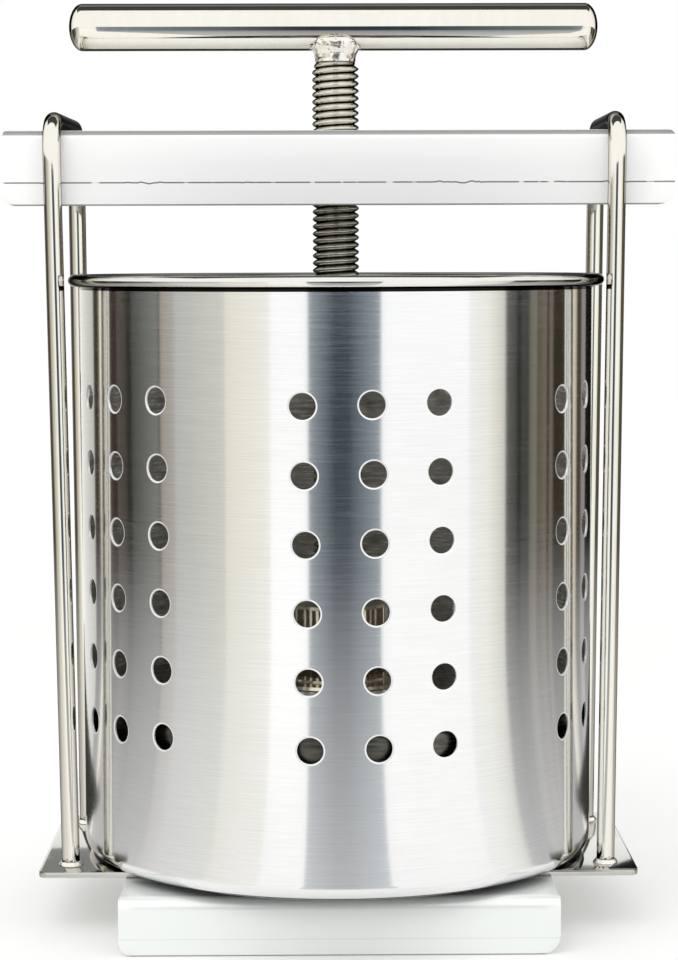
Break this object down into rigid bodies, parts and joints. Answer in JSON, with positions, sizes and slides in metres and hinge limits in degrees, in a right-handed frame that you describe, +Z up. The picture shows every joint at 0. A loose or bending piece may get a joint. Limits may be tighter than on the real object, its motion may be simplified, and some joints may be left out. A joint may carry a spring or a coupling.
{
  "type": "vegetable press",
  "caption": "Hand-turned vegetable press: perforated steel basket on a sheet foot, crossbeam held by two wire loops, and a T-handled screw with a round press plate.",
  "frame": {"origin": "on the ground under the axis of the screw, 1 mm from the centre of the bounding box", "axes": "+Z up along the screw, +X along the crossbeam to the viewer's right, -Y towards the viewer"},
  "size_m": [0.224, 0.1844, 0.3122],
  "materials": {
    "polished_rod": "polished stainless steel rod",
    "polished_sheet": "polished stainless steel sheet",
    "brushed_sheet": "stainless steel brushed round the wall",
    "satin_sheet": "bright satin stainless steel sheet",
    "turned_steel": "turned stainless steel",
    "weld_metal": "cleaned weld bead"
  },
  "bodies": {
    "frame": {"base_foot": "satin_sheet", "base_strip": "polished_sheet", "base_weld_left": "weld_metal", "base_weld_right": "weld_metal", "left_loop": "polished_rod", "right_loop": "polished_rod", "foot_weld_left_front": "weld_metal", "foot_weld_left_rear": "weld_metal", "foot_weld_right_front": "weld_metal", "foot_weld_right_rear": "weld_metal", "crossbeam": "satin_sheet", "screw_nut": "turned_steel", "nut_weld": "weld_metal"},
    "basket": {"basket": "brushed_sheet"},
    "ram": {"press_plate": "brushed_sheet", "plate_boss": "turned_steel", "boss_weld": "weld_metal", "thrust_disc": "turned_steel", "lock_screw_left": "turned_steel", "lock_screw_right": "turned_steel"},
    "screw": {"screw": "turned_steel", "handle_bar": "polished_rod", "handle_weld": "weld_metal"}
  },
  "joints": [
    {"name": "press_travel", "type": "slide", "parent": "frame", "child": "ram", "axis": [0, 0, 1], "range_m": [-0.0236, 0.14]},
    {"name": "screw_turn", "type": "hinge", "parent": "ram", "child": "screw", "pos_m": [0, 0, 0.2], "axis": [0, 0, 1], "range_deg": [-3390, 20150]},
    {"name": "basket_lift", "type": "slide", "parent": "frame", "child": "basket", "axis": [0, 0, 1], "range_m": [0, 0.016]}
  ],
  "couplings": [
    {"joint": "press_travel", "follows": "screw_turn", "m_per_rad": 0.00039789}
  ]
}
